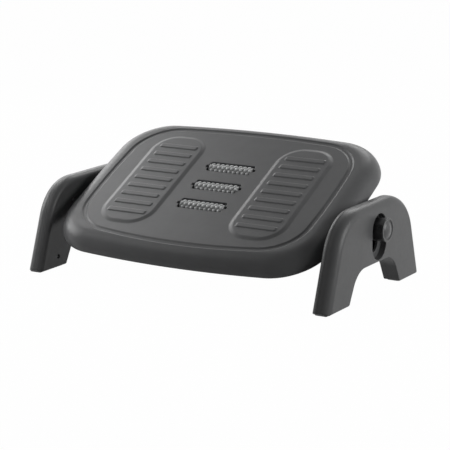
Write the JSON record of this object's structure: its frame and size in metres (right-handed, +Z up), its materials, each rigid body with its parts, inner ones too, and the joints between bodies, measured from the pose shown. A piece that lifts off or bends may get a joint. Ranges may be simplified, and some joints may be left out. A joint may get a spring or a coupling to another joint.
{
  "type": "tilting under-desk footrest",
  "caption": "Under-desk footrest with ribbed foot pads and massage rollers, tilting between arched legs whose slots and clamp knobs set its height.",
  "frame": {"origin": "on the floor, under the middle of the whole footrest", "axes": "+X across the footrest to the user's right, +Y from the user towards the back, +Z up"},
  "size_m": [0.5518, 0.3033, 0.2001],
  "materials": {
    "tread_plastic": "moulded ABS with a fine satin texture",
    "charcoal_plastic": "moulded ABS with a fine satin texture",
    "knob_plastic": "moulded nylon, dark and slightly rough",
    "cap_plastic": "smooth moulded cap",
    "roller_plastic": "light grey moulded rollers",
    "nylon": "black nylon bearing pieces",
    "rubber": "dull black non-slip rubber",
    "zinc_steel": "zinc-plated steel",
    "brass_insert": "turned brass"
  },
  "bodies": {
    "legs": {"right_leg_shell": "charcoal_plastic", "right_leg_cover": "charcoal_plastic", "right_leg_screws": "zinc_steel", "right_front_foot": "rubber", "right_rear_foot": "rubber", "left_leg_shell": "charcoal_plastic", "left_leg_cover": "charcoal_plastic", "left_leg_screws": "zinc_steel", "left_front_foot": "rubber", "left_rear_foot": "rubber"},
    "height_carriage": {"right_pivot_bolt": "zinc_steel", "right_pivot_spacer": "nylon", "right_guide_bush": "nylon", "right_thrust_washer": "zinc_steel", "left_pivot_bolt": "zinc_steel", "left_pivot_spacer": "nylon", "left_guide_bush": "nylon", "left_thrust_washer": "zinc_steel"},
    "platform": {"platform_tread": "tread_plastic", "platform_bottom_cover": "charcoal_plastic", "platform_cover_screws": "zinc_steel", "front_roller_axle": "zinc_steel", "middle_roller_axle": "zinc_steel", "rear_roller_axle": "zinc_steel", "right_pivot_bracket": "charcoal_plastic", "right_bracket_screws": "zinc_steel", "right_friction_washer": "nylon", "left_pivot_bracket": "charcoal_plastic", "left_bracket_screws": "zinc_steel", "left_friction_washer": "nylon"},
    "right_knob": {"right_knob_body": "knob_plastic", "right_knob_insert": "brass_insert", "right_knob_cap": "cap_plastic"},
    "left_knob": {"left_knob_body": "knob_plastic", "left_knob_insert": "brass_insert", "left_knob_cap": "cap_plastic"},
    "front_roller_body": {"front_roller": "roller_plastic"},
    "middle_roller_body": {"middle_roller": "roller_plastic"},
    "rear_roller_body": {"rear_roller": "roller_plastic"}
  },
  "joints": [
    {"name": "height_slide", "type": "slide", "parent": "legs", "child": "height_carriage", "axis": [0, 0, 1], "range_m": [-0.0229, 0]},
    {"name": "platform_tilt", "type": "hinge", "parent": "height_carriage", "child": "platform", "pos_m": [0, 0.0139, 0.0959], "axis": [1, 0, 0], "range_deg": [-26.3, 3.7]},
    {"name": "right_knob_turn", "type": "hinge", "parent": "height_carriage", "child": "right_knob", "pos_m": [0, 0.0139, 0.0959], "axis": [1, 0, 0], "range_deg": [0, 360]},
    {"name": "left_knob_turn", "type": "hinge", "parent": "height_carriage", "child": "left_knob", "pos_m": [0, 0.0139, 0.0959], "axis": [-1, 0, 0], "range_deg": [0, 360]},
    {"name": "front_roller_spin", "type": "hinge", "parent": "platform", "child": "front_roller_body", "pos_m": [0, -0.0528, 0.11056], "axis": [1, 0, 0], "continuous": true},
    {"name": "middle_roller_spin", "type": "hinge", "parent": "platform", "child": "middle_roller_body", "pos_m": [0, -0.01076, 0.13134], "axis": [1, 0, 0], "continuous": true},
    {"name": "rear_roller_spin", "type": "hinge", "parent": "platform", "child": "rear_roller_body", "pos_m": [0, 0.03129, 0.15212], "axis": [1, 0, 0], "continuous": true}
  ]
}
